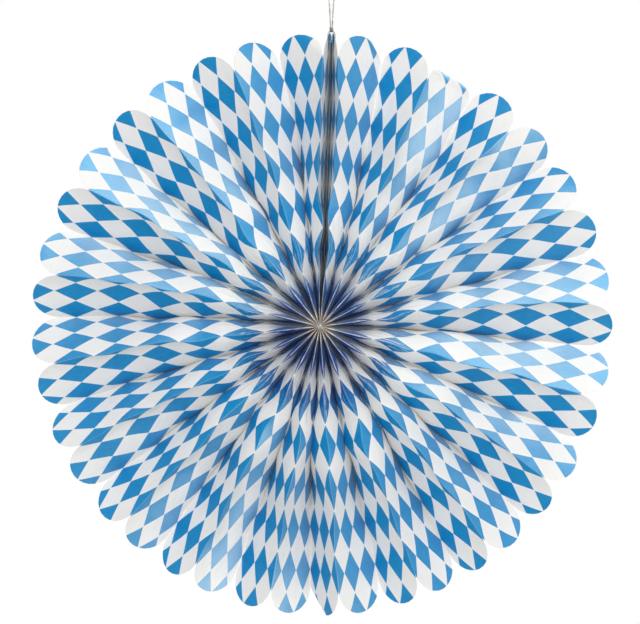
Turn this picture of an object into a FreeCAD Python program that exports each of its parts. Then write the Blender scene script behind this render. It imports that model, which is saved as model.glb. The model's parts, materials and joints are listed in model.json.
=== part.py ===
import FreeCAD, Part
import math
import os

# Paper fan rosette: one long paper strip, pleated into equal panels and opened
# like a hand fan through a full turn. Its two end panels meet at the top and are
# taped together, a thread gathers the inner ends, and a thread loop hangs it up.
# Millimetres. +X right, +Z up, the front faces -Y, and the origin is the hub.

os.makedirs("parts", exist_ok=True)
doc = FreeCAD.newDocument("paper_fan_rosette")
Vec = FreeCAD.Vector


# Driving dimensions

SIZES = [
    ("panel_width", 50, "width of one panel, from fold to fold"),
    ("panel_length", 225, "hub centre to the rounded tip of a panel"),
    ("tip_rise", 21, "height of a panel's rounded end above its folds"),
    ("paper_thickness", 0.3, "thickness of the sheet"),
    ("crest_width", 0.45, "flat left on the outside of a fold"),
    ("hub_radius", 3.2, "open core that the inner ends stand round"),
    ("sag_start", 95, "radius past which the ridges sag"),
    ("panel_drop", 2, "sag across the middle of a level panel"),
    ("tip_pull", 1.4, "how far the thread draws each end panel's tip in"),
    ("tape_width", 3, "width of the tape between the end panels"),
    ("tape_gap", 0.3, "space between the end panels at their taped edge"),
    ("tape_play", 0.05, "clearance on each face of the tape"),
    ("tie_radius", 9, "radius of the thread ring round the hub"),
    ("tie_thickness", 0.8, "diameter of the hub thread"),
    ("tie_play", 0.2, "play of the hub thread in its holes"),
    ("thread_thickness", 1.2, "diameter of the hanging thread"),
    ("thread_play", 1.2, "play of the hanging thread in its holes"),
    ("hole_inset", 6.5, "thread hole to the tip of an end panel"),
    ("loop_height", 41.5, "top of the hanging loop above the panel tips"),
    ("knot_width", 3.6, "width of the knot"),
    ("knot_height", 5, "height of the knot"),
]

sheet = doc.addObject("Spreadsheet::Sheet", "sizes")
for row, (alias, value, meaning) in enumerate(SIZES, start=1):
    sheet.set("A%d" % row, meaning)
    sheet.set("B%d" % row, str(value))
    sheet.setAlias("B%d" % row, alias)
doc.recompute()


def size(alias):
    return float(sheet.get(alias))


# Folds, clockwise from the top as seen from the front. Each has its angle at the
# rim and its angle halfway in, in degrees. Odd folds are ridges, even ones valleys.

FOLDS = [
    (3.9, 5.5), (13.0, 14.5), (23.5, 24.0), (33.5, 35.0), (44.0, 42.5),
    (54.5, 54.5), (64.5, 62.3), (75.0, 74.5), (85.0, 82.3), (94.5, 94.0),
    (104.5, 104.0), (114.5, 114.0), (124.0, 122.5), (133.5, 133.0), (142.5, 141.2),
    (151.0, 151.0), (159.0, 159.0), (167.5, 167.5), (176.0, 176.0), (182.5, 184.0),
    (190.5, 190.5), (199.0, 199.0), (207.5, 207.5), (216.0, 216.5), (225.0, 225.5),
    (234.0, 234.5), (243.5, 244.5), (252.5, 253.5), (262.0, 264.0), (271.5, 272.5),
    (281.0, 283.8), (290.5, 291.5), (300.5, 302.5), (310.5, 310.0), (321.0, 322.0),
    (331.5, 332.5), (341.5, 343.0), (351.0, 353.0), (360.6, 359.6),
]
SEAM_ANGLE = 2.0
FULL_TURN = 360.0

rims = [SEAM_ANGLE] + [rim for rim, middle in FOLDS] + [SEAM_ANGLE + FULL_TURN]
middles = [SEAM_ANGLE] + [middle for rim, middle in FOLDS] + [SEAM_ANGLE + FULL_TURN]
last_fold = len(FOLDS) + 1
hub_step = FULL_TURN / last_fold

panel_width = size("panel_width")
panel_length = size("panel_length")
tip_rise = size("tip_rise")
paper = size("paper_thickness")
crest_width = size("crest_width")
hub_radius = size("hub_radius")
sag_start = size("sag_start")
panel_drop = size("panel_drop")
tip_pull = size("tip_pull")
fold_length = panel_length - tip_rise
SAG_POWER = 1.5
PULL_POWER = 3
MERGE_DISTANCE = 0.001
FRONT = Vec(0, -1, 0)
UP = Vec(0, 0, 1)


def fold_angle(fold, reach):
    """Angle of a fold at a radius: even at the hub, sagging towards the rim."""
    if reach <= hub_radius:
        return SEAM_ANGLE + hub_step * fold
    share = max(0.0, (reach - sag_start) / (fold_length - sag_start)) ** SAG_POWER
    return middles[fold] + share * (rims[fold] - middles[fold])


def outward(angle):
    return Vec(math.sin(math.radians(angle)), 0, math.cos(math.radians(angle)))


def clockwise(angle):
    return Vec(math.cos(math.radians(angle)), 0, -math.sin(math.radians(angle)))


def panel_depth(panel, reach):
    """Front to back height of a panel, from its width and its opening there."""
    opening = fold_angle(panel, reach) - fold_angle(panel - 1, reach)
    across = 2 * reach * math.sin(math.radians(opening) / 2)
    return math.sqrt(max(panel_width ** 2 - across ** 2, 0.0))


def fold_point(fold, reach):
    """Point on a fold line: ridges lie in front, valleys and the seam behind."""
    before = panel_depth(fold if fold > 0 else last_fold, reach)
    after = panel_depth(fold + 1 if fold < last_fold else 1, reach)
    depth = (before + after) / 4
    point = outward(fold_angle(fold, reach)) * reach
    point.y = -depth if fold % 2 else depth
    return point


def crest_corner(fold, reach, side):
    """Corner of the flat on a fold, or the open edge of an end panel at the seam."""
    half = crest_width / 2
    if fold in (0, last_fold):
        half = (size("tape_gap") + paper) / 2
    return fold_point(fold, reach) + clockwise(fold_angle(fold, reach)) * (side * half)


def panel_point(panel, share, reach, side):
    """Point on a panel's front (side 1) or back (side -1), share 0 to 1 across it."""
    start = crest_corner(panel - 1, reach, 1)
    end = crest_corner(panel, reach, -1)
    across = end - start
    across.normalize()
    middle_angle = (fold_angle(panel - 1, reach) + fold_angle(panel, reach)) / 2
    normal = across.cross(outward(middle_angle))
    normal.normalize()
    arch = 4 * share * (1 - share)
    along = (reach - hub_radius) / (panel_length - hub_radius)
    point = start + (end - start) * share
    point -= normal * (panel_drop * normal.dot(UP) * arch * math.sin(math.pi * along))
    if panel in (1, last_fold):
        inwards = -1 if panel == 1 else 1
        point += clockwise(middle_angle) * (inwards * tip_pull * arch * along ** PULL_POWER)
    offset = normal
    fold = panel - 1 if share == 0 else panel
    if share in (0, 1) and fold not in (0, last_fold):
        offset = (normal + FRONT) * (1 / (1 + normal.dot(FRONT)))
    return point + offset * (side * paper / 2)


# Grid points. Each panel is a grid of flat facets. Its columns fan out so that its
# last row follows the arc of the round end, and neighbours share their fold points.

END_SPANS = 8
ROW_SHARES = (0, 0.15, 0.33, 0.5, 0.67, 0.84, 1)
half_width = panel_width / 2
end_radius = (half_width ** 2 + tip_rise ** 2) / (2 * tip_rise)
end_turn = 2 * math.acos(1 - tip_rise / end_radius)


def panel_columns():
    """Share across the panel and reach of its round end, for each column."""
    columns = [(0, fold_length)]
    for span in range(1, END_SPANS):
        angle = end_turn * (span / END_SPANS - 0.5)
        share = 0.5 + end_radius * math.sin(angle) / panel_width
        columns.append((share, panel_length - end_radius + end_radius * math.cos(angle)))
    return columns + [(1, fold_length)]


def panel_grid(panel, side):
    return [[panel_point(panel, share, hub_radius + row * (end - hub_radius), side)
             for row in ROW_SHARES] for share, end in panel_columns()]


class Facets:
    """Corner points and the triangles between them."""

    def __init__(self):
        self.points = []
        self.triangles = []

    def add(self, line):
        first = len(self.points)
        self.points += line
        return list(range(first, len(self.points)))

    def span(self, before, after, facing=1):
        """Skin between two lines of points, facing one way or the other."""
        for a, b, c, d in zip(before[:-1], before[1:], after[1:], after[:-1]):
            for triangle in ((a, c, b), (a, d, c)):
                self.triangles.append(triangle[::facing])

    def solid(self):
        shape = Part.Shape()
        shape.makeShapeFromMesh((self.points, self.triangles), MERGE_DISTANCE)
        return Part.makeSolid(shape)


def pleated_solid():
    """The folded sheet as one closed skin: fronts, backs, fold flats and cut edges."""
    skin = Facets()
    front, back = [], []
    for panel in range(1, last_fold + 1):
        front += [skin.add(line) for line in panel_grid(panel, 1)]
        back += [skin.add(line) for line in panel_grid(panel, -1)]
    for near, far in zip(zip(front[:-1], back[:-1]), zip(front[1:], back[1:])):
        skin.span(near[0], far[0])
        skin.span(near[1], far[1], -1)
        for end, first, second in ((0, near, far), (-1, far, near)):
            skin.span([first[1][end], first[0][end]], [second[1][end], second[0][end]])
    skin.span(back[0], front[0])
    skin.span(front[-1], back[-1])
    return skin.solid()


def tape_solid():
    """Adhesive strip between the two end panels, just inside their back edges."""
    share = size("tape_width") / panel_width
    play = size("tape_play")
    skin = Facets()
    lines = []
    for panel, across, inwards in ((1, share, -1), (1, 0, -1), (last_fold, 1, 1), (last_fold, 1 - share, 1)):
        line = []
        for row in ROW_SHARES[1:-1]:
            reach = hub_radius + row * (fold_length - hub_radius)
            point = panel_point(panel, across, reach, 1)
            line.append(point + clockwise(SEAM_ANGLE) * (inwards * play))
        lines.append(skin.add(line))
    for before, after in zip(lines, lines[1:] + lines[:1]):
        skin.span(before, after)
    for end, order in ((0, 1), (-1, -1)):
        ring = [line[end] for line in lines]
        skin.triangles += [tuple(ring[corner] for corner in corners)[::order]
                           for corners in ((0, 1, 2), (0, 2, 3))]
    return skin.solid()


# Cords. A route is straight runs joined by tangent arcs, as large as the runs allow.

ARC_SHARE = 0.45


def rounded_path(name, points):
    """Wire along a route of points, with each corner rounded by its own arc."""
    edges = []
    last = points[0]
    for before, corner, after in zip(points[:-2], points[1:-1], points[2:]):
        towards = (before - corner).normalize()
        away = (after - corner).normalize()
        half_turn = (math.pi - towards.getAngle(away)) / 2
        cut = ARC_SHARE * min(before.distanceToPoint(corner), after.distanceToPoint(corner))
        radius = cut / math.tan(half_turn)
        print(name, "arc radius %.2f mm" % radius)
        inside = (towards + away).normalize()
        middle = corner + inside * (radius / math.cos(half_turn) - radius)
        start = corner + towards * cut
        end = corner + away * cut
        edges.append(Part.LineSegment(last, start).toShape())
        edges.append(Part.Arc(start, middle, end).toShape())
        last = end
    edges.append(Part.LineSegment(last, points[-1]).toShape())
    return Part.Wire(edges)


def tube(name, points, thickness):
    """Round cord along a route, checked against its section times its length."""
    path = rounded_path(name, points)
    start = (points[1] - points[0]).normalize()
    ring = Part.Wire([Part.Circle(points[0], start, thickness / 2).toShape()])
    solid = path.makePipeShell([ring], True, False)
    expected = math.pi * thickness ** 2 / 4 * path.Length
    print(name, "length %.1f mm, volume share %.4f" % (path.Length, solid.Volume / expected))
    return solid


# The thread. It passes through a hole near the tip of each end panel, is knotted
# just above the tips, and closes in a loop. Its points are sideways and upwards
# of the knot's middle, and those of the bow are sideways and below its crown.

thread = size("thread_thickness")
hole_reach = panel_length - size("hole_inset")
hole_middle = (panel_point(1, 0.5, hole_reach, -1) + panel_point(last_fold, 0.5, hole_reach, -1)) * 0.5
hole_axis = panel_point(1, 0.5, hole_reach, -1) - panel_point(last_fold, 0.5, hole_reach, -1)
hole_span = hole_axis.Length
hole_axis.normalize()
knot_rise = size("hole_inset") + size("knot_height") / 2
knot_middle = hole_middle + Vec(0, 0, knot_rise)

KNOT_SIDE = 0.65
KNOT_START = 0.6
EYE_BEND = 0.77
LOOP_LEG = [(-0.9, 8), (-1.35, 16), (-1.9, 24), (-3.8, 30.2)]
LOOP_BOW = [(-5.2, 3.4), (-2, 0)]


def loop_route():
    """One leg up from the knot, the bow at the top, and the mirrored leg down."""
    crown = size("loop_height") - size("knot_height") / 2 - thread / 2
    leg = [(-KNOT_SIDE, KNOT_START)] + LOOP_LEG
    leg += [(side, crown - below) for side, below in LOOP_BOW]
    both = leg + [(-side, rise) for side, rise in reversed(leg)]
    return [knot_middle + Vec(side, 0, rise) for side, rise in both]


def eye_route():
    """Down one side of the end panels, through their holes and up the other side."""
    out = hole_span / 2 + thread / 2 + size("thread_play") / 2
    bend = Vec(0, 0, knot_rise * EYE_BEND)
    left = [knot_middle + Vec(-KNOT_SIDE, 0, -KNOT_START),
            hole_middle - hole_axis * out + bend, hole_middle - hole_axis * out]
    right = [hole_middle + hole_axis * out, hole_middle + hole_axis * out + bend,
             knot_middle + Vec(KNOT_SIDE, 0, -KNOT_START)]
    return left + right


# Document objects

def add_feature(name, shape):
    feature = doc.addObject("Part::Feature", name)
    feature.Shape = shape
    feature.Placement = FreeCAD.Placement()
    return feature


def add_bound(kind, name, expressions, placement=None):
    """Primitive whose sizes are bound to the sheet."""
    item = doc.addObject(kind, name)
    for prop, expression in expressions.items():
        item.setExpression(prop, expression)
    if placement is not None:
        item.Placement = placement
    return item


def add_cut(name, base, tool):
    item = doc.addObject("Part::Cut", name)
    item.Base = base
    item.Tool = tool
    item.Refine = False
    return item


facing_front = FreeCAD.Placement(Vec(0, 0, 0), FreeCAD.Rotation(Vec(1, 0, 0), 90))
across_seam = FreeCAD.Placement(hole_middle - hole_axis * hole_span, FreeCAD.Rotation(UP, hole_axis))
at_knot = FreeCAD.Placement(knot_middle, FreeCAD.Rotation())

pleats = add_feature("pleats", pleated_solid())
tie_holes = add_bound("Part::Torus", "tie_holes", {
    "Radius1": "sizes.tie_radius",
    "Radius2": "sizes.tie_thickness / 2 + sizes.tie_play / 2"}, facing_front)
thread_holes = add_bound("Part::Cylinder", "thread_holes", {
    "Radius": "sizes.thread_thickness / 2 + sizes.thread_play / 2"}, across_seam)
thread_holes.Height = 2 * hole_span
punched = add_cut("punched", pleats, tie_holes)
pleated_paper = add_cut("pleated_paper", punched, thread_holes)

hub_tie = add_bound("Part::Torus", "hub_tie", {
    "Radius1": "sizes.tie_radius", "Radius2": "sizes.tie_thickness / 2"}, facing_front)
seam_tape = add_feature("seam_tape", tape_solid())
hanging_thread = add_feature("hanging_thread", tube("hanging_thread", loop_route(), thread))
thread_eye = add_feature("thread_eye", tube("thread_eye", eye_route(), thread))
knot_body = add_bound("Part::Ellipsoid", "knot_body", {
    "Radius1": "sizes.knot_height / 2",
    "Radius2": "sizes.knot_width / 2",
    "Radius3": "sizes.knot_width / 2"}, at_knot)
knot_below = add_cut("knot_below", knot_body, hanging_thread)
thread_knot = add_cut("thread_knot", knot_below, thread_eye)

SUB_PARTS = [pleated_paper, hub_tie, seam_tape, hanging_thread, thread_eye, thread_knot]
for item in SUB_PARTS:
    item.Label = item.Name
doc.recompute()

for item in doc.Objects:
    if "Invalid" in item.State or "Error" in item.State:
        raise RuntimeError("%s did not recompute: %s" % (item.Label, item.State))
for item in SUB_PARTS:
    if item.Shape.isNull() or not item.Shape.isValid():
        raise RuntimeError("%s has no valid shape" % item.Label)
    if len(item.Shape.Solids) != 1:
        raise RuntimeError("%s is %d solids" % (item.Label, len(item.Shape.Solids)))
for item in SUB_PARTS:
    item.Shape.exportStep("parts/%s.step" % item.Label)
    print(item.Label, "volume %.1f" % item.Shape.Volume, item.Shape.BoundBox)
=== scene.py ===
import json
import math

import bpy
import numpy as np
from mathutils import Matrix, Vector

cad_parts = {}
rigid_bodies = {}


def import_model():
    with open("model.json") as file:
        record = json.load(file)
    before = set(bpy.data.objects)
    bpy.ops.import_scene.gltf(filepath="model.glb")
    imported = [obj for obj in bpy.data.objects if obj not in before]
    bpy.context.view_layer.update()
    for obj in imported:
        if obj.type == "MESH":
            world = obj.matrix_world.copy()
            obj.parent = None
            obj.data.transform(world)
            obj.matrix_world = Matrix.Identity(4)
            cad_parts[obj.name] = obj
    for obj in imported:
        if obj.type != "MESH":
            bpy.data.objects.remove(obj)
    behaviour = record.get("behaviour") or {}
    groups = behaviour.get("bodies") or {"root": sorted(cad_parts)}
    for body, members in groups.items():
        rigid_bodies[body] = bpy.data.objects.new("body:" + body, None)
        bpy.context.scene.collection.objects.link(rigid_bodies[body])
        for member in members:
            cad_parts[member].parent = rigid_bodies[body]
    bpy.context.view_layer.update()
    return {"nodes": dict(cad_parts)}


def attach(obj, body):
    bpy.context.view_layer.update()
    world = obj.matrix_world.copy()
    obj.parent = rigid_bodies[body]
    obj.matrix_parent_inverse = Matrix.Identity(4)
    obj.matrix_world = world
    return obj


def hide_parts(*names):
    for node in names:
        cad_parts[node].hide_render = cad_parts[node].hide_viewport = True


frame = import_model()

# Paper fan rosette: a long printed strip, pleated and opened through a full turn.
# Metres. +X right, +Z up, the front faces -Y, and the origin is the hub.

MM = 0.001
nodes = frame["nodes"]
for thing in bpy.data.objects:
    thing.select_set(False)


# Camera, at the photograph's angle. The photograph's frame is 640 by 624 pixels.

FRAME_WIDE = 640
FRAME_HIGH = 624
HUB_PIXEL = (320.9, 325.3)
CAMERA_TURN = math.radians(2.1)
CAMERA_RISE = math.radians(2.1)
CAMERA_DISTANCE = 2.28
FOCAL_PIXELS = 2957.6
SENSOR = 36.0
FAR_LIMIT = 20


def add_camera():
    bpy.ops.object.camera_add()
    camera = bpy.context.object
    camera.name = "photo_camera"
    back = Vector((math.sin(CAMERA_TURN) * math.cos(CAMERA_RISE),
                   -math.cos(CAMERA_TURN) * math.cos(CAMERA_RISE), math.sin(CAMERA_RISE)))
    camera.location = back * CAMERA_DISTANCE
    camera.rotation_mode = "QUATERNION"
    camera.rotation_quaternion = (-back).to_track_quat("-Z", "Y")
    camera.data.sensor_width = SENSOR
    camera.data.lens = SENSOR * FOCAL_PIXELS / FRAME_WIDE
    camera.data.shift_x = (FRAME_WIDE / 2 - HUB_PIXEL[0]) / FRAME_WIDE
    camera.data.shift_y = (HUB_PIXEL[1] - FRAME_HIGH / 2) / FRAME_WIDE
    camera.data.clip_end = FAR_LIMIT
    bpy.context.scene.camera = camera


add_camera()


# Folds, clockwise from the top: angle at the rim and angle halfway in, in degrees.
# Odd folds are ridges and even ones are valleys, as in the solid sheet.

FOLDS = [
    (3.9, 5.5), (13.0, 14.5), (23.5, 24.0), (33.5, 35.0), (44.0, 42.5),
    (54.5, 54.5), (64.5, 62.3), (75.0, 74.5), (85.0, 82.3), (94.5, 94.0),
    (104.5, 104.0), (114.5, 114.0), (124.0, 122.5), (133.5, 133.0), (142.5, 141.2),
    (151.0, 151.0), (159.0, 159.0), (167.5, 167.5), (176.0, 176.0), (182.5, 184.0),
    (190.5, 190.5), (199.0, 199.0), (207.5, 207.5), (216.0, 216.5), (225.0, 225.5),
    (234.0, 234.5), (243.5, 244.5), (252.5, 253.5), (262.0, 264.0), (271.5, 272.5),
    (281.0, 283.8), (290.5, 291.5), (300.5, 302.5), (310.5, 310.0), (321.0, 322.0),
    (331.5, 332.5), (341.5, 343.0), (351.0, 353.0), (360.6, 359.6),
]
SEAM_ANGLE = 2.0
FULL_TURN = 360.0
PANELS = len(FOLDS) + 1

# Sheet. Its length is a hair short of the solid's, so that it stays in the solid's box.
PANEL_WIDTH = 50 * MM
PAIR_WIDTH = 2 * PANEL_WIDTH
SHEET_WIDE = PANELS * PANEL_WIDTH
PANEL_LENGTH = 224.95 * MM
TIP_RISE = 21 * MM
FOLD_LENGTH = PANEL_LENGTH - TIP_RISE
END_RADIUS = ((PANEL_WIDTH / 2) ** 2 + TIP_RISE ** 2) / (2 * TIP_RISE)
SHEET_THICKNESS = 0.16 * MM
FOLD_ROUNDING = 0.45 * MM
HUB_RADIUS = 1.3 * MM
HUB_BLEND = 33 * MM

# Folds bend towards their rim angles from here on. The end panels pull to each other.
SAG_START = 95 * MM
SAG_POWER = 1.5
TIP_PULL = 1.7 * MM
SEAM_HALF_GAP = 0.25 * MM

# Print: rows of lozenges, counted in the sheet's UV map across the strip from the seam
# and along a panel from below the first blue row.
LOZENGE_WIDE = PANEL_WIDTH / 2.5
LOZENGE_HIGH = 33.25 * MM
FIRST_BLUE_ROW = 25.4 * MM
ROW_START = FIRST_BLUE_ROW - LOZENGE_HIGH / 2


# Shader maths: sockets wrapped so that an expression adds its nodes.

class Value:
    """A number on a material's node tree."""

    def __init__(self, paint, socket):
        self.paint = paint
        self.socket = socket

    def math(self, operation, *others):
        return self.paint.math(operation, self, *others)

    def __add__(self, other):
        return self.math("ADD", other)

    __radd__ = __add__

    def __sub__(self, other):
        return self.math("SUBTRACT", other)

    def __rsub__(self, other):
        return self.paint.math("SUBTRACT", other, self)

    def __mul__(self, other):
        return self.math("MULTIPLY", other)

    __rmul__ = __mul__


class Paint:
    """A material and its nodes."""

    def __init__(self, name):
        self.material = bpy.data.materials.new(name)
        self.material.use_nodes = True
        self.tree = self.material.node_tree
        self.shader = self.tree.nodes["Principled BSDF"]

    def set(self, socket, value):
        if isinstance(value, Value):
            value = value.socket
        if isinstance(value, bpy.types.NodeSocket):
            self.tree.links.new(value, socket)
        else:
            socket.default_value = value

    def finish(self, looks):
        """Sets or links the shader's own sockets, by their names."""
        for name, value in looks.items():
            self.set(self.shader.inputs[name], value)

    def node(self, kind, settings=None, inputs=None, output=0):
        node = self.tree.nodes.new(kind)
        for name, value in (settings or {}).items():
            setattr(node, name, value)
        for key, value in (inputs or {}).items():
            self.set(node.inputs[key], value)
        return Value(self, node.outputs[output])

    def math(self, operation, *values):
        return self.node("ShaderNodeMath", {"operation": operation}, dict(enumerate(values)))

    def object_place(self):
        return self.node("ShaderNodeTexCoord", output="Object")

    def stretch(self, vector, factors):
        settings = {"operation": "MULTIPLY"}
        return self.node("ShaderNodeVectorMath", settings, {0: vector, 1: factors})

    def rise(self, value, low, high):
        """Smooth step from 0 at low to 1 at high."""
        return self.step(value, low, high, 0.0, 1.0)

    def fall(self, value, low, high, top=1.0, bottom=0.0):
        """Smooth step from top at low to bottom at high."""
        return self.step(value, low, high, top, bottom)

    def step(self, value, low, high, start, end):
        settings = {"interpolation_type": "SMOOTHSTEP"}
        inputs = {"Value": value, "From Min": low, "From Max": high, "To Min": start, "To Max": end}
        return self.node("ShaderNodeMapRange", settings, inputs)

    def mix(self, factor, first, second):
        settings = {"data_type": "RGBA"}
        return self.node("ShaderNodeMix", settings, {0: factor, 6: first, 7: second}, 2)

    def noise(self, vector, scale, detail, rough=0.5):
        inputs = {"Vector": vector, "Scale": scale, "Detail": detail, "Roughness": rough}
        return self.node("ShaderNodeTexNoise", None, inputs)

    def bump(self, height, strength, distance):
        inputs = {"Height": height, "Strength": strength, "Distance": distance}
        self.set(self.shader.inputs["Normal"], self.node("ShaderNodeBump", None, inputs))


def colour(red, green, blue):
    """Colour from the numbers of a paint chart, 0 to 255, as linear light."""
    return [((part / 255 + 0.055) / 1.055) ** 2.4 if part > 10 else part / 255 / 12.92
            for part in (red, green, blue)] + [1.0]


# Print and wear, with painted shade and painted highlights.

INK = colour(3, 126, 184)
THIN_INK = colour(7, 134, 190)
# Painted shade: the ink's colour deep in the pleats near the hub.
HUB_SHADE_INK = colour(5, 72, 148)
BARE_PAPER = colour(229, 228, 227)
# Painted shade: the bare paper greyer near the hub, and dark blue deep in the pleats.
HUB_SHADED_PAPER = colour(212, 213, 215)
PLEAT_SHADE_PAPER = colour(88, 120, 172)
WORN_HUB = colour(235, 223, 216)
# Fold colour: wear and a painted highlight along the ridges.
FOLD_WEAR_AND_HIGHLIGHT = colour(244, 239, 232)
PRINT_WANDER = 0.012
SHARP_EDGE = 0.01
SOFT_EDGE = 0.06
INK_COAT = 0.4
BARE_GLOSS = 0.06

# Where each mark starts and ends, in millimetres from the hub, and for the ones that
# are named sides, from the nearest ridge.
# The next two place the painted shade on the ink near the hub, which reaches less far out at the
# top, as painted light from above.
HUB_INK_SHADE_ENDS = (26.0, 70.0)
UPPER_LIGHT_SHIFT = 13
# The next five place the painted shade on the bare paper: near the hub, where pleats press
# together, and along the valleys.
HUB_PAPER_SHADE_ENDS = (35.0, 75.0)
PRESSED_SHADE_SIDES = (2.0, 7.0)
PRESSED_SHADE_ENDS = (24.0, 44.0)
VALLEY_SHADE_SIDES = (34.0, 47.0)
VALLEY_SHADE_ENDS = (70.0, 130.0)
# The next four place the wear and painted highlight along the ridges.
FOLD_WEAR_AND_HIGHLIGHT_SIDES = (0.2, 0.7)
FOLD_WEAR_AND_HIGHLIGHT_FADES = (14.0, 70.0)
WIDE_WEAR_AND_HIGHLIGHT = 0.6
WIDE_WEAR_AND_HIGHLIGHT_ENDS = (12.0, 46.0)
HUB_WEAR_ENDS = (7.0, 13.0)
CRACK_STARTS = (20.0, 35.0)
CRACK_ENDS = (40.0, 85.0)
GLOSS_STARTS = (55.0, 120.0)
CRUSHED_ENDS = (30.0, 105.0)

# Stretch of the noise that runs along the pleats, and how wide its cracks are in it.
LONG_GRAIN = (7.0, 0.5, 1)
PINCH_GRAIN = (5.5, 0.9, 1)
CRACK_WIDTH = (0.007, 0.026)


def lozenges(paint, across, along):
    """Where two sets of slanting stripes are both up or both down."""
    rising = ((across + along) * math.pi).math("COSINE")
    falling = ((across - along) * math.pi).math("COSINE")
    between = (paint.rise(rising, SHARP_EDGE, SOFT_EDGE)
               * paint.fall(falling, -SOFT_EDGE, -SHARP_EDGE))
    return between + (paint.fall(rising, -SOFT_EDGE, -SHARP_EDGE)
                      * paint.rise(falling, SHARP_EDGE, SOFT_EDGE))


def printed_paper():
    """Semi-gloss paper with blue and white lozenges, pale with wear at its folds and hub, with
    painted shade near the hub and in the pleats, a painted lighter top and a painted highlight
    along the ridges.

    reach is the distance from the hub and ridge_gap that from the nearest ridge, both
    in millimetres on the flat sheet.
    """
    paint = Paint("printed_paper")
    sheet = paint.node("ShaderNodeUVMap", {"uv_map": "sheet"})
    axes = paint.tree.nodes.new("ShaderNodeSeparateXYZ")
    paint.set(axes.inputs[0], sheet)
    across = Value(paint, axes.outputs[0])
    along = Value(paint, axes.outputs[1])
    reach = along * (LOZENGE_HIGH / MM) + ROW_START / MM
    pair = (across * (LOZENGE_WIDE / PAIR_WIDTH)).math("PINGPONG", 0.5)
    ridge_gap = (0.5 - pair) * (PAIR_WIDTH / MM)
    ripple = paint.noise(sheet, 1.3, 3.0) - 0.5
    mottle = paint.noise(sheet, 6.0, 4.0, 0.6)
    patchy = paint.rise(mottle + 0.5 * ripple, 0.35, 0.6)

    # The ink is a little uneven. Painted shade darkens it towards the hub; the shade reaches
    # furthest out at the bottom and least far at the top, as painted light from above.
    blue = lozenges(paint, across + PRINT_WANDER * ripple, along)
    ink = paint.mix(paint.rise(mottle, 0.3, 0.7), INK, THIN_INK)
    upper_light = (across * (2 * math.pi * LOZENGE_WIDE / SHEET_WIDE)).math("COSINE")
    ink_shade_reach = reach + 10 * ripple + UPPER_LIGHT_SHIFT * upper_light
    ink = paint.mix(paint.fall(ink_shade_reach, *HUB_INK_SHADE_ENDS), ink, HUB_SHADE_INK)

    # Painted shade on the bare paper: greyer near the hub, and tinted dark blue where pleats press
    # together and along the valleys, for shade and blue light from the ink.
    bare = paint.mix(paint.rise(reach + 20 * ripple, *HUB_PAPER_SHADE_ENDS), HUB_SHADED_PAPER, BARE_PAPER)
    pressed_shade = (paint.rise(ridge_gap + 5 * ripple, *PRESSED_SHADE_SIDES)
               * paint.fall(reach + 14 * ripple, *PRESSED_SHADE_ENDS, 0.9))
    # Painted shade along the valleys.
    valley = (paint.rise(ridge_gap + 8 * ripple, *VALLEY_SHADE_SIDES)
              * paint.fall(reach + 24 * ripple, *VALLEY_SHADE_ENDS, 0.7))
    bare = paint.mix(pressed_shade.math("MAXIMUM", valley), bare, PLEAT_SHADE_PAPER)

    # Ridges are pale with wear and a painted highlight, widest near the hub, with fine cracks
    # between them.
    fade = paint.fall(reach + 60 * ripple, *FOLD_WEAR_AND_HIGHLIGHT_FADES)
    widened = paint.fall(reach + 20 * ripple, *WIDE_WEAR_AND_HIGHLIGHT_ENDS, WIDE_WEAR_AND_HIGHLIGHT)
    ridge_wear_and_highlight = paint.fall(ridge_gap + 0.9 * ripple - widened, *FOLD_WEAR_AND_HIGHLIGHT_SIDES)
    crease_wear_and_highlight = ridge_wear_and_highlight * (0.08 + (0.35 + 0.55 * patchy) * fade)
    crack_noise = paint.noise(paint.stretch(sheet, LONG_GRAIN), 1.0, 1.0)
    crack_gap = (crack_noise - 0.5).math("ABSOLUTE")
    cracked = (paint.fall(reach + 40 * ripple, *CRACK_ENDS, 0.9)
               * paint.rise(reach, *CRACK_STARTS))
    cracks = paint.fall(crack_gap, *CRACK_WIDTH) * patchy * cracked
    hub_wear = 0.85 * paint.fall(reach + 9 * ripple, *HUB_WEAR_ENDS)
    # Wear, painted shade and painted highlight together make the paper's colour.
    wear_and_painted_light = paint.mix(hub_wear, paint.mix(blue, bare, ink), WORN_HUB)
    wear_and_painted_light = paint.mix(crease_wear_and_highlight.math("MAXIMUM", cracks), wear_and_painted_light, FOLD_WEAR_AND_HIGHLIGHT)

    # The ink is glossier than the bare paper, least so near the hub.
    paint.finish({"Base Color": wear_and_painted_light,
                  "Roughness": 0.46 + 0.1 * mottle + 0.1 * crease_wear_and_highlight,
                  "Coat Weight": INK_COAT * blue * paint.step(reach, *GLOSS_STARTS, 0.1, 1.0),
                  "Coat Roughness": 0.5,
                  "Specular IOR Level": BARE_GLOSS,
                  "IOR": 1.5})

    pinches = (paint.noise(paint.stretch(sheet, PINCH_GRAIN), 1.0, 2.0)
               * paint.fall(reach, *CRUSHED_ENDS, 1.0, 0.12))
    crumple = paint.noise(sheet, 2.6, 3.0, 0.55)
    grain = paint.noise(sheet, 60.0, 3.0, 0.6)
    paint.bump(0.02 * grain + 0.8 * crumple + 2.4 * pinches, 0.75, 1.2 * MM)
    return paint.material


def paper_edge():
    """The white core that a cut edge shows."""
    paint = Paint("paper_edge")
    fibre = paint.noise(paint.object_place(), 900.0, 3.0, 0.6)
    paint.finish({"Base Color": paint.mix(fibre, colour(218, 216, 212), colour(234, 232, 228)),
                  "Roughness": 0.65 + 0.2 * fibre})
    paint.bump(fibre, 0.3, 0.1 * MM)
    return paint.material


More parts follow.
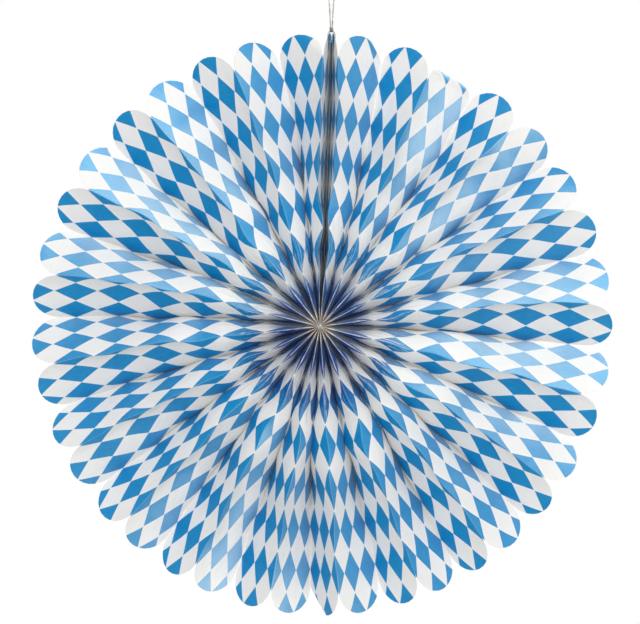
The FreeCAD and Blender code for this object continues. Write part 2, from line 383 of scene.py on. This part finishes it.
def twine(name, dark, light):
    """Twisted grey thread with darker fibres in it."""
    paint = Paint(name)
    place = paint.object_place()
    fibre = paint.noise(place, 2600.0, 3.0, 0.65)
    patch = paint.noise(place, 420.0, 2.0, 0.5)
    tone = paint.rise(0.6 * fibre + 0.5 * patch, 0.42, 0.66)
    paint.finish({"Base Color": paint.mix(tone, dark, light), "Roughness": 0.75 + 0.2 * fibre})
    paint.bump(fibre, 0.6, 0.15 * MM)
    return paint.material


def clear_tape():
    """Thin clear film, faintly yellow, with small air marks under it."""
    paint = Paint("clear_tape")
    marks = paint.noise(paint.object_place(), 350.0, 3.0, 0.6)
    paint.finish({"Base Color": paint.mix(marks, colour(214, 216, 208), colour(236, 236, 230)),
                  "Roughness": 0.1 + 0.2 * marks,
                  "Alpha": 0.4 + 0.3 * marks})
    paint.bump(marks, 0.2, 0.1 * MM)
    return paint.material


# Shape of the folded sheet. Its columns lie close together beside the folds, and its
# rows are even out to near the rim, where they lie closer.

HALF_COLUMNS = [0, 0.3, 0.7, 1.4, 2.5, 4.2, 6.8, 10.2, 14.5, 19.5, 25]
OTHER_HALF = [PANEL_WIDTH / MM - place for place in reversed(HALF_COLUMNS[:-1])]
COLUMN_PLACES = np.array(HALF_COLUMNS + OTHER_HALF) * MM
COLUMNS = len(COLUMN_PLACES) - 1
ROWS = 50
ROW_KNOTS = ([0, 0.72, 1], [0, 0.88, 1])
SHEET_SMOOTHING = 50

# How far the panels swell, hollow and roll, and where on their way from the hub to
# the rim, in millimetres.
SWELLING = 6.3
SWELLING_SLOPE = 0.074
SWELLING_ENDS = (85, 150)
UNEVEN_SWELLING = 0.3
RIDGE_HOLLOW = 6.5
LOWER_ROLL = 4.0
UPPER_FULLNESS = 2.5
DROOP_STARTS = (70, 120)
DROOP_EASES = (150, 204)
DROOP_LOST = 0.6
OWN_BEND = 0.5
OWN_BEND_STARTS = (60, 110)
LONG_RIPPLE = 0.45
SHORT_RIPPLE = 0.18
RIPPLE_STARTS = (18, 45)
RIPPLE_EASES = (70, 150)
QUIET_RIPPLE = 0.35

# Makes x * (1 - x) ** 2 one high.
SIDE_ARCH = 27 / 4

# How far a fold line wavers, in degrees, and where.
FOLD_WAVER = 0.28
HUB_WAVER = 3.2
WAVER_STARTS = (25, 60)
WAVER_CALMS = (55, 125)
WAVER_ENDS = (165, 203)

rim_angles = np.array([SEAM_ANGLE] + [rim for rim, middle in FOLDS] + [SEAM_ANGLE + FULL_TURN])
middle_angles = np.array([SEAM_ANGLE] + [middle for rim, middle in FOLDS]
                         + [SEAM_ANGLE + FULL_TURN])
hub_angles = SEAM_ANGLE + FULL_TURN / PANELS * np.arange(PANELS + 1)


def ease(value, low, high):
    """Smooth step from 0 at low to 1 at high."""
    share = np.clip((value - low) / (high - low), 0, 1)
    return share * share * (3 - 2 * share)


def fold_waver(fold, reach):
    """Small irregular bends of a fold line, in degrees, none at the seam and rim."""
    along = reach / MM
    wave = (np.sin(along / 9.5 + 2.4 * fold) + 0.8 * np.sin(along / 15.5 + 4.1 * fold)
            + 0.5 * np.sin(along / 5.7 + 1.3 * fold))
    inside = ease(along, *WAVER_STARTS) * (1 - ease(along, *WAVER_ENDS))
    free = (fold > 0) & (fold < PANELS)
    loose = 1 + HUB_WAVER * (1 - ease(along, *WAVER_CALMS))
    return FOLD_WAVER * wave * inside * free * loose


def fold_angle(fold, reach):
    """Angle of a fold, in radians, past the hub."""
    share = np.clip((reach - SAG_START) / (FOLD_LENGTH - SAG_START), 0, None) ** SAG_POWER
    angle = middle_angles[fold] + share * (rim_angles[fold] - middle_angles[fold])
    return np.radians(angle)


def panel_depth(panel, reach):
    """Front to back height of a panel, from its width and its opening there."""
    opening = fold_angle(panel, reach) - fold_angle(panel - 1, reach)
    across = 2 * reach * np.sin(opening / 2)
    return np.sqrt(np.clip(PANEL_WIDTH ** 2 - across ** 2, 0, None))


def at_angle(angle, reach, depth):
    return np.stack([reach * np.sin(angle), depth, reach * np.cos(angle)], -1)


def fold_point(fold, reach):
    """Point on a fold line: ridges lie in front, valleys and the seam behind."""
    outer = np.maximum(reach, HUB_BLEND)
    before = panel_depth(np.where(fold > 0, fold, PANELS), outer)
    after = panel_depth(np.where(fold < PANELS, fold + 1, 1), outer)
    side = np.where(fold % 2 == 1, -1, 1)
    angle = fold_angle(fold, outer) + np.radians(fold_waver(fold, outer))
    point = at_angle(angle, outer, side * (before + after) / 4)
    inner = at_angle(np.radians(hub_angles[fold]), HUB_RADIUS, side * PANEL_WIDTH / 2)
    share = np.clip((reach - HUB_RADIUS) / (HUB_BLEND - HUB_RADIUS), 0, 1)[..., None]
    return inner + (point - inner) * share


def strip_point(place, reach):
    """Point of the sharply folded strip, place 0 to PANELS along it."""
    place = np.clip(place, 0, PANELS)
    panel = np.minimum(place.astype(int), PANELS - 1)
    start = fold_point(panel, reach)
    return start + (fold_point(panel + 1, reach) - start) * (place - panel)[:, None]


def unit(vectors):
    return vectors / np.linalg.norm(vectors, axis=-1, keepdims=True)


# Curled tips: panel, direction of the curl across and outwards in degrees, where it
# starts along that direction from the middle of the fold ends, and its radius.

CURLS = [
    (1, 45, 18 * MM, 5 * MM),
    (3, 90, 3 * MM, 9 * MM),
    (19, 53, 15 * MM, 3 * MM),
    (38, 55, 15.5 * MM, 6 * MM),
]


def curl(panel, across, out):
    """Rolls the free end of some panels backwards, in the panel's own plane."""
    lift = np.zeros_like(across)
    for curled, direction, start, radius in CURLS:
        sideways = math.cos(math.radians(direction))
        outwards = math.sin(math.radians(direction))
        beyond = across * sideways + out * outwards - start
        rolled = (panel == curled) & (beyond > 0)
        turn = np.where(rolled, beyond / radius, 0)
        back = np.where(rolled, radius * np.sin(turn) - beyond, 0)
        across = across + back * sideways
        out = out + back * outwards
        lift = lift - radius * (1 - np.cos(turn))
    return across, out, lift


def bulge(panel, share, reach, upward):
    """How far a panel stands in front of the flat between its folds.

    The pleats swell near the hub. Further out a side that faces up is slightly full,
    and one that faces down is hollow under its ridge and rolls out above its valley.
    """
    along = reach / MM
    odd = panel % 2 == 1
    from_ridge = np.where(odd, share, 1 - share)
    arch = 4 * share * (1 - share)
    beside_ridge = SIDE_ARCH * from_ridge * (1 - from_ridge) ** 2
    beside_valley = SIDE_ARCH * from_ridge ** 2 * (1 - from_ridge)

    groove = (panel + 1) // 2
    pushed = 1 + UNEVEN_SWELLING * np.sin(2.1 * groove + 0.5) * np.where(odd, 1, -1)
    swelling = pushed * np.minimum(SWELLING_SLOPE * along, SWELLING)
    swelling = swelling * (1 - ease(along, *SWELLING_ENDS))
    own = OWN_BEND * np.sin(2.7 * panel) * ease(along, *OWN_BEND_STARTS)
    ripples = (LONG_RIPPLE * np.sin(along / 5.6 + 2.4 * panel + 2.2 * share)
               + SHORT_RIPPLE * np.sin(along / 2.9 + 4.1 * panel - 3.1 * share))
    quiet = QUIET_RIPPLE + (1 - QUIET_RIPPLE) * (1 - ease(along, *RIPPLE_EASES))
    ripples = ripples * ease(along, *RIPPLE_STARTS) * quiet

    below = np.clip(-upward, 0, 1) * (LOWER_ROLL * beside_valley - RIDGE_HOLLOW * beside_ridge)
    above = np.clip(upward, 0, 1) * UPPER_FULLNESS * arch
    droop = (below + above) * ease(along, *DROOP_STARTS)
    droop = droop * (1 - DROOP_LOST * ease(along, *DROOP_EASES))
    inner = (panel > 0) & (panel < PANELS - 1)
    return np.where(inner, MM * (arch * (swelling + own + ripples) + droop), 0)


def fold_sheet(strip):
    """Folds the flat strip: its columns go to panels, its rows from hub to rim."""
    mesh = strip.data
    flat = np.empty(len(mesh.vertices) * 3)
    mesh.vertices.foreach_get("co", flat)
    flat = flat.reshape(-1, 3)
    column = np.rint((flat[:, 0] + 0.5) * PANELS * COLUMNS).astype(int)
    panel = np.minimum(column // COLUMNS, PANELS - 1)
    across = COLUMN_PLACES[column - panel * COLUMNS] - PANEL_WIDTH / 2
    row = np.interp(flat[:, 1] + 0.5, *ROW_KNOTS)
    end = PANEL_LENGTH - END_RADIUS + np.sqrt(END_RADIUS ** 2 - across ** 2)
    reach = HUB_RADIUS + row * (end - HUB_RADIUS)
    lozenges_across = (panel + across / PANEL_WIDTH + 0.5) * PANEL_WIDTH / LOZENGE_WIDE
    lozenges_along = (reach - ROW_START) / LOZENGE_HIGH

    across, out, lift = curl(panel, across, reach - FOLD_LENGTH)
    reach = FOLD_LENGTH + out
    share = across / PANEL_WIDTH + 0.5
    place = panel + share
    step = FOLD_ROUNDING / PANEL_WIDTH
    point = (strip_point(place - step, reach) + 2 * strip_point(place, reach)
             + strip_point(place + step, reach)) / 4
    start = fold_point(panel, reach)
    stop = fold_point(panel + 1, reach)
    outer = np.maximum(reach, HUB_BLEND)
    middle = (fold_angle(panel, outer) + fold_angle(panel + 1, outer)) / 2
    normal = unit(np.cross(stop - start, at_angle(middle, np.ones_like(reach), 0 * reach)))
    point += normal * (lift + bulge(panel, share, reach, normal[:, 2]))[:, None]

    inwards = np.where(panel == 0, -1, np.where(panel == PANELS - 1, 1, 0))
    along = (reach - HUB_RADIUS) / (PANEL_LENGTH - HUB_RADIUS)
    arch = 4 * share * (1 - share)
    pull = inwards * (TIP_PULL * arch * along ** 3 - SEAM_HALF_GAP * (1 - np.abs(2 * share - 1)))
    point += at_angle(middle + math.pi / 2, pull, 0 * reach)
    mesh.vertices.foreach_set("co", point.ravel())

    uv = mesh.uv_layers.active
    uv.name = "sheet"
    corner = np.empty(len(mesh.loops), dtype=int)
    mesh.loops.foreach_get("vertex_index", corner)
    uv.data.foreach_set("uv", np.stack([lozenges_across, lozenges_along], -1)[corner].ravel())
    mesh.update()


def apply_modifiers(piece):
    bpy.context.view_layer.objects.active = piece
    piece.select_set(True)
    for modifier in list(piece.modifiers):
        bpy.ops.object.modifier_apply(modifier=modifier.name)
    piece.select_set(False)


def smooth_by_angle(piece, degrees):
    bpy.context.view_layer.objects.active = piece
    piece.select_set(True)
    bpy.ops.object.shade_smooth_by_angle(angle=math.radians(degrees))
    piece.select_set(False)


def make_pleats():
    bpy.ops.mesh.primitive_grid_add(x_subdivisions=PANELS * COLUMNS, y_subdivisions=ROWS, size=1)
    strip = bpy.context.object
    strip.name = "printed_pleats"
    fold_sheet(strip)
    strip.data.materials.append(printed_paper())
    strip.data.materials.append(paper_edge())
    solidify = strip.modifiers.new("paper", "SOLIDIFY")
    solidify.thickness = SHEET_THICKNESS
    solidify.offset = 0
    solidify.material_offset_rim = 1
    apply_modifiers(strip)
    smooth_by_angle(strip, SHEET_SMOOTHING)
    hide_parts("pleated_paper")
    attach(strip, "root")


# Thread. The route's points are those of the solid thread, from the knot's middle.

THREAD = 1.2 * MM
KNOT_MIDDLE = Vector((8.06, 2.02, 227.32)) * MM
LOOP_LEG = [(-0.65, 0.6), (-0.9, 8), (-1.35, 16), (-1.9, 24), (-3.8, 30.2), (-5.2, 35), (-2, 38.4)]
LOWER_SOCKET = Vector((0.65, 0, -0.6)) * MM
HOLE_DROP = 9 * MM
EYE_RISE = 6.93 * MM
HOLE_AXIS = Vector((1, 0, 0))
EYE_OUT = 2.72 * MM
STRANDS = 3
STRAND_SIDES = 8
STRAND_SHARE = 0.27
TWIST_LENGTH = 4.2 * MM
TWINE_SMOOTHING = 60
ROUTE_STEPS = 24
KNOT_STEPS = 96
KNOT_BOW = 0.37 * MM
KNOT_RISE = 1.55 * MM


def route_points(points):
    """Points read from a smooth curve that has the given control points."""
    data = bpy.data.curves.new("route", "CURVE")
    data.dimensions = "3D"
    data.resolution_u = ROUTE_STEPS
    spline = data.splines.new("NURBS")
    spline.points.add(len(points) - 1)
    for control, point in zip(spline.points, points):
        control.co = (*point, 1)
    spline.order_u = 3
    spline.use_endpoint_u = True
    holder = bpy.data.objects.new("route", data)
    bpy.context.collection.objects.link(holder)
    bpy.context.view_layer.update()
    drawn = holder.evaluated_get(bpy.context.evaluated_depsgraph_get())
    mesh = bpy.data.meshes.new_from_object(drawn)
    path = [vertex.co.copy() for vertex in mesh.vertices]
    bpy.data.meshes.remove(mesh)
    bpy.data.objects.remove(holder)
    return path


def frames_along(path, closed):
    """A sideways and a second direction at each point, carried along without twist."""
    count = len(path)
    ahead = []
    for index in range(count):
        before = path[index - 1] if index or closed else path[0]
        after = path[(index + 1) % count] if index < count - 1 or closed else path[-1]
        ahead.append((after - before).normalized())
    side = ahead[0].orthogonal().normalized()
    frames = []
    for direction in ahead:
        side = (side - direction * side.dot(direction)).normalized()
        frames.append((side.copy(), direction.cross(side)))
    return frames


def lengths_along(path):
    """Distance travelled from the first point to each point."""
    travelled = [0.0]
    for before, after in zip(path[:-1], path[1:]):
        travelled.append(travelled[-1] + (after - before).length)
    return travelled


def twist_strands(name, path, material, closed=False):
    """Three strands laid round a path of points."""
    frames = frames_along(path, closed)
    travelled = lengths_along(path)
    turns = max(1, round(travelled[-1] / TWIST_LENGTH))
    strand_radius = THREAD * STRAND_SHARE
    lay_radius = THREAD / 2 - strand_radius
    rings = len(path)
    vertices = []
    faces = []
    for strand in range(STRANDS):
        first = len(vertices)
        for point, length, (side, other) in zip(path, travelled, frames):
            angle = 2 * math.pi * (turns * length / travelled[-1] + strand / STRANDS)
            heart = point + (side * math.cos(angle) + other * math.sin(angle)) * lay_radius
            for corner in range(STRAND_SIDES):
                around = angle + 2 * math.pi * corner / STRAND_SIDES
                outwards = side * math.cos(around) + other * math.sin(around)
                vertices.append(heart + outwards * strand_radius)
        for ring in range(rings if closed else rings - 1):
            here = first + ring * STRAND_SIDES
            there = first + (ring + 1) % rings * STRAND_SIDES
            for corner in range(STRAND_SIDES):
                beside = (corner + 1) % STRAND_SIDES
                faces.append((here + corner, here + beside, there + beside, there + corner))
        if not closed:
            last = first + (rings - 1) * STRAND_SIDES
            faces.append(tuple(range(first + STRAND_SIDES - 1, first - 1, -1)))
            faces.append(tuple(range(last, last + STRAND_SIDES)))
    mesh = bpy.data.meshes.new(name)
    mesh.from_pydata(vertices, [], faces)
    mesh.materials.append(material)
    piece = bpy.data.objects.new(name, mesh)
    bpy.context.collection.objects.link(piece)
    smooth_by_angle(piece, TWINE_SMOOTHING)
    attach(piece, "root")
    return piece


def knot_path():
    """Closed line of an overhand knot, standing on end."""
    path = []
    for step in range(KNOT_STEPS):
        turn = 2 * math.pi * step / KNOT_STEPS
        path.append(KNOT_MIDDLE + Vector((
            KNOT_BOW * (math.sin(turn) + 2 * math.sin(2 * turn)),
            KNOT_BOW * (math.cos(turn) - 2 * math.cos(2 * turn)),
            -KNOT_RISE * math.sin(3 * turn))))
    return path


def make_thread():
    grey = twine("grey_twine", colour(118, 115, 112), colour(206, 204, 200))
    dark = twine("knotted_twine", colour(52, 49, 52), colour(128, 125, 124))
    leg = [Vector((side, 0, rise)) * MM for side, rise in LOOP_LEG]
    mirrored = [Vector((-point.x, 0, point.z)) for point in reversed(leg)]
    route = [KNOT_MIDDLE + point for point in leg + mirrored]
    loop_path = route_points(route)
    loop = twist_strands("hanging_twine", loop_path, grey)
    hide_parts("hanging_thread")

    hole_middle = KNOT_MIDDLE - Vector((0, 0, HOLE_DROP))
    left_hole = hole_middle - HOLE_AXIS * EYE_OUT
    right_hole = hole_middle + HOLE_AXIS * EYE_OUT
    bend = Vector((0, 0, EYE_RISE))
    other_socket = Vector((-LOWER_SOCKET.x, 0, LOWER_SOCKET.z))
    eye_route = [KNOT_MIDDLE + other_socket, left_hole + bend, left_hole,
                 right_hole, right_hole + bend, KNOT_MIDDLE + LOWER_SOCKET]
    eye = twist_strands("twine_through_tips", route_points(eye_route), grey)
    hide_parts("thread_eye")
    knot = twist_strands("twine_knot", knot_path(), dark, closed=True)
    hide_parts("thread_knot")

    lengths_along(loop_path)[-1]


def dress(node, material):
    """Gives a carried-over solid its finish."""
    nodes[node].data.materials.clear()
    nodes[node].data.materials.append(material)


make_thread()
make_pleats()
dress("hub_tie", twine("white_thread", colour(196, 192, 184), colour(236, 233, 227)))
dress("seam_tape", clear_tape())


# Light: soft boxes in front and behind, and an even pale world. Two more, above and to
# the lower right, are seen only in the paper's sheen and cast no shadow.

HUB = (0, 0, 0)
WORLD_LIGHT = 0.5
SHEEN_TINT = (0.96, 1.0, 0.8)
FLOOR_RADIUS = 1.3
FLOOR_LEVEL = -0.42


def soft_box(name, place, aim, wide, high, watts):
    bpy.ops.object.light_add(type="AREA", location=place)
    lamp = bpy.context.object
    lamp.name = name
    lamp.data.shape = "RECTANGLE"
    lamp.data.size = wide
    lamp.data.size_y = high
    lamp.data.energy = watts
    lamp.rotation_mode = "QUATERNION"
    lamp.rotation_quaternion = (Vector(aim) - Vector(place)).to_track_quat("-Z", "Y")
    lamp.select_set(False)
    return lamp


def sheen_box(name, place, aim, wide, high, watts):
    lamp = soft_box(name, place, aim, wide, high, watts)
    lamp.visible_diffuse = False
    lamp.data.use_shadow = False
    lamp.data.color = SHEEN_TINT


def pale_world():
    """White where it is seen, reflected or seen through, and dimmer as a light."""
    world = bpy.data.worlds.new("pale_world")
    bpy.context.scene.world = world
    world.use_nodes = True
    tree = world.node_tree
    background = tree.nodes["Background"]
    background.inputs["Color"].default_value = (1, 1, 1, 1)
    path = tree.nodes.new("ShaderNodeLightPath")
    strength = tree.nodes.new("ShaderNodeMapRange")
    strength.inputs["To Min"].default_value = WORLD_LIGHT
    strength.inputs["To Max"].default_value = 1.0
    seen = path.outputs["Is Camera Ray"]
    for kind in ("Is Glossy Ray", "Is Transmission Ray"):
        either = tree.nodes.new("ShaderNodeMath")
        either.operation = "MAXIMUM"
        tree.links.new(seen, either.inputs[0])
        tree.links.new(path.outputs[kind], either.inputs[1])
        seen = either.outputs[0]
    tree.links.new(seen, strength.inputs["Value"])
    tree.links.new(strength.outputs[0], background.inputs["Strength"])


def pale_floor():
    bpy.ops.mesh.primitive_circle_add(vertices=96, radius=FLOOR_RADIUS, fill_type="NGON",
                                      location=(0, 0, FLOOR_LEVEL))
    floor = bpy.context.object
    floor.name = "floor"
    paint = Paint("pale_floor")
    paint.finish({"Base Color": colour(236, 235, 232), "Roughness": 0.8})
    floor.data.materials.append(paint.material)
    floor.select_set(False)


soft_box("key", (0.8, -1.9, 1.15), HUB, 1.0, 1.0, 25)
soft_box("front", (-0.6, -2.4, 0.2), HUB, 1.2, 1.2, 18)
soft_box("back", (-0.3, 2.4, 0.4), HUB, 1.4, 1.4, 30)
sheen_box("overhead_sheen", (0.45, -0.05, 1.3), HUB, 3.0, 1.2, 180)
sheen_box("side_sheen", (2.6, -0.3, -1.45), (0, 0, 0.1), 2.0, 0.6, 310)
pale_world()
pale_floor()
bpy.context.scene.view_settings.view_transform = "Standard"
